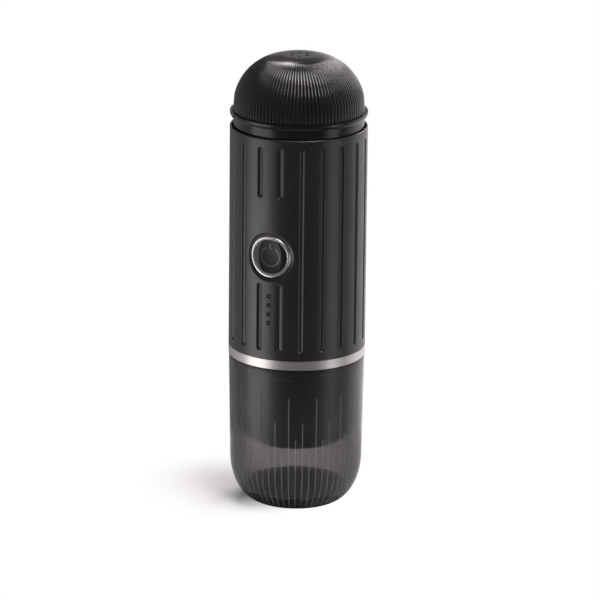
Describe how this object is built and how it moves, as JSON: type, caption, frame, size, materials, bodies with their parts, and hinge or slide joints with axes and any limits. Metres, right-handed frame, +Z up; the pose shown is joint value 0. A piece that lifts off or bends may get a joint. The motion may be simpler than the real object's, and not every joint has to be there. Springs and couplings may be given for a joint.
{
  "type": "portable espresso maker",
  "caption": "Slim upright espresso maker: vented ribbed dome lid, fluted black body with power button and indicator lights, steel band, and a smoked push-on cup over the brew head.",
  "frame": {"origin": "centre of the flat base of the cup, on the surface that the maker stands on", "axes": "+Z up along the maker's axis, -Y towards the power button, +X to the right of someone facing the button"},
  "size_m": [0.075, 0.075, 0.2519],
  "materials": {
    "smoked_clear": "smoked clear moulded plastic",
    "black_rubber": "matt black silicone rubber",
    "brushed_steel": "stainless steel brushed round the band",
    "satin_black": "satin black moulded plastic",
    "bright_ring": "bright turned metal ring",
    "button_black": "satin black moulded plastic",
    "symbol_light": "pale translucent inlay",
    "lens_grey": "smoked clear light pipe",
    "dome_black": "satin black ribbed plastic",
    "gloss_black": "gloss black moulded plastic",
    "grey_silicone": "grey food-safe silicone",
    "inner_plastic": "matt black glass-filled plastic",
    "tank_steel": "drawn stainless steel",
    "red_silicone": "red food-safe silicone",
    "heater_metal": "plain aluminium",
    "head_black": "satin black moulded plastic",
    "frame_plastic": "dark grey moulded plastic",
    "screw_steel": "plated steel",
    "cell_wrap": "blue shrink wrap over a metal can",
    "board_green": "green circuit board",
    "board_parts": "black component bodies",
    "pump_metal": "die-cast aluminium",
    "gear_brass": "machined brass",
    "motor_can": "plated motor can",
    "socket_metal": "plated steel shell"
  },
  "bodies": {
    "housing": {"body_shell": "satin_black", "trim_band": "brushed_steel", "cup_oring": "black_rubber", "button_ring": "bright_ring", "light_pipes": "lens_grey", "tank_ring": "inner_plastic", "tank_cup": "tank_steel", "tank_grommet": "red_silicone", "heater_disc": "heater_metal", "heat_sensor": "heater_metal", "brew_mount": "inner_plastic", "needle_plate": "tank_steel", "inner_frame": "frame_plastic", "frame_screws": "screw_steel", "cell_holder": "frame_plastic", "holder_screws": "screw_steel", "battery_cells": "cell_wrap", "cell_tabs": "screw_steel", "control_board": "board_green", "board_parts": "board_parts", "button_switch": "board_parts", "pump_body": "pump_metal", "pump_cover": "pump_metal", "pump_screws": "screw_steel", "idler_pin": "screw_steel", "pump_motor": "motor_can", "inlet_tube": "tank_steel", "outlet_nipple": "tank_steel", "charge_board": "board_green", "charge_socket": "socket_metal"},
    "lid_gasket": {"lid_gasket": "grey_silicone"},
    "lid": {"dome_cap": "dome_black", "lid_collar": "gloss_black"},
    "group_seal": {"group_seal": "red_silicone"},
    "brew_head": {"brew_head": "head_black", "coffee_basket": "tank_steel"},
    "cup": {"cup": "smoked_clear"},
    "power_button": {"power_button": "button_black", "power_symbol": "symbol_light"},
    "port_cover": {"port_cover": "black_rubber"},
    "pump_drive": {"drive_shaft": "screw_steel", "drive_gear": "gear_brass"},
    "pump_driven": {"driven_gear": "gear_brass"}
  },
  "joints": [
    {"name": "lid_lift", "type": "slide", "parent": "housing", "child": "lid_gasket", "axis": [0, 0, 1], "range_m": [0, 0.00534]},
    {"name": "lid_turn", "type": "hinge", "parent": "lid_gasket", "child": "lid", "pos_m": [0, 0, 0.213], "axis": [0, 0, 1], "range_deg": [0, 120]},
    {"name": "brew_lift", "type": "slide", "parent": "housing", "child": "group_seal", "axis": [0, 0, -1], "range_m": [0, 0.00534]},
    {"name": "brew_turn", "type": "hinge", "parent": "group_seal", "child": "brew_head", "pos_m": [0, 0, 0.0715], "axis": [0, 0, -1], "range_deg": [0, 120]},
    {"name": "cup_pull", "type": "slide", "parent": "housing", "child": "cup", "axis": [0, 0, -1], "range_m": [0, 0.0865]},
    {"name": "button_press", "type": "slide", "parent": "housing", "child": "power_button", "axis": [0, 1, 0], "range_m": [0, 0.001], "stiffness_N_per_m": 1500, "springref_m": -0.0005},
    {"name": "port_open", "type": "hinge", "parent": "housing", "child": "port_cover", "pos_m": [0, 0.0367, 0.103], "axis": [-1, 0, 0], "range_deg": [0, 95]},
    {"name": "pump_turn", "type": "hinge", "parent": "housing", "child": "pump_drive", "pos_m": [0, 0.013, 0.1055], "axis": [0, 0, 1], "continuous": true},
    {"name": "pump_follow", "type": "hinge", "parent": "housing", "child": "pump_driven", "pos_m": [0, 0.00275, 0.1055], "axis": [0, 0, 1], "continuous": true}
  ],
  "couplings": [
    {"joint": "lid_lift", "follows": "lid_turn", "m_per_rad": 0.0025465},
    {"joint": "brew_lift", "follows": "brew_turn", "m_per_rad": 0.0025465},
    {"joint": "pump_follow", "follows": "pump_turn", "ratio": -1}
  ]
}
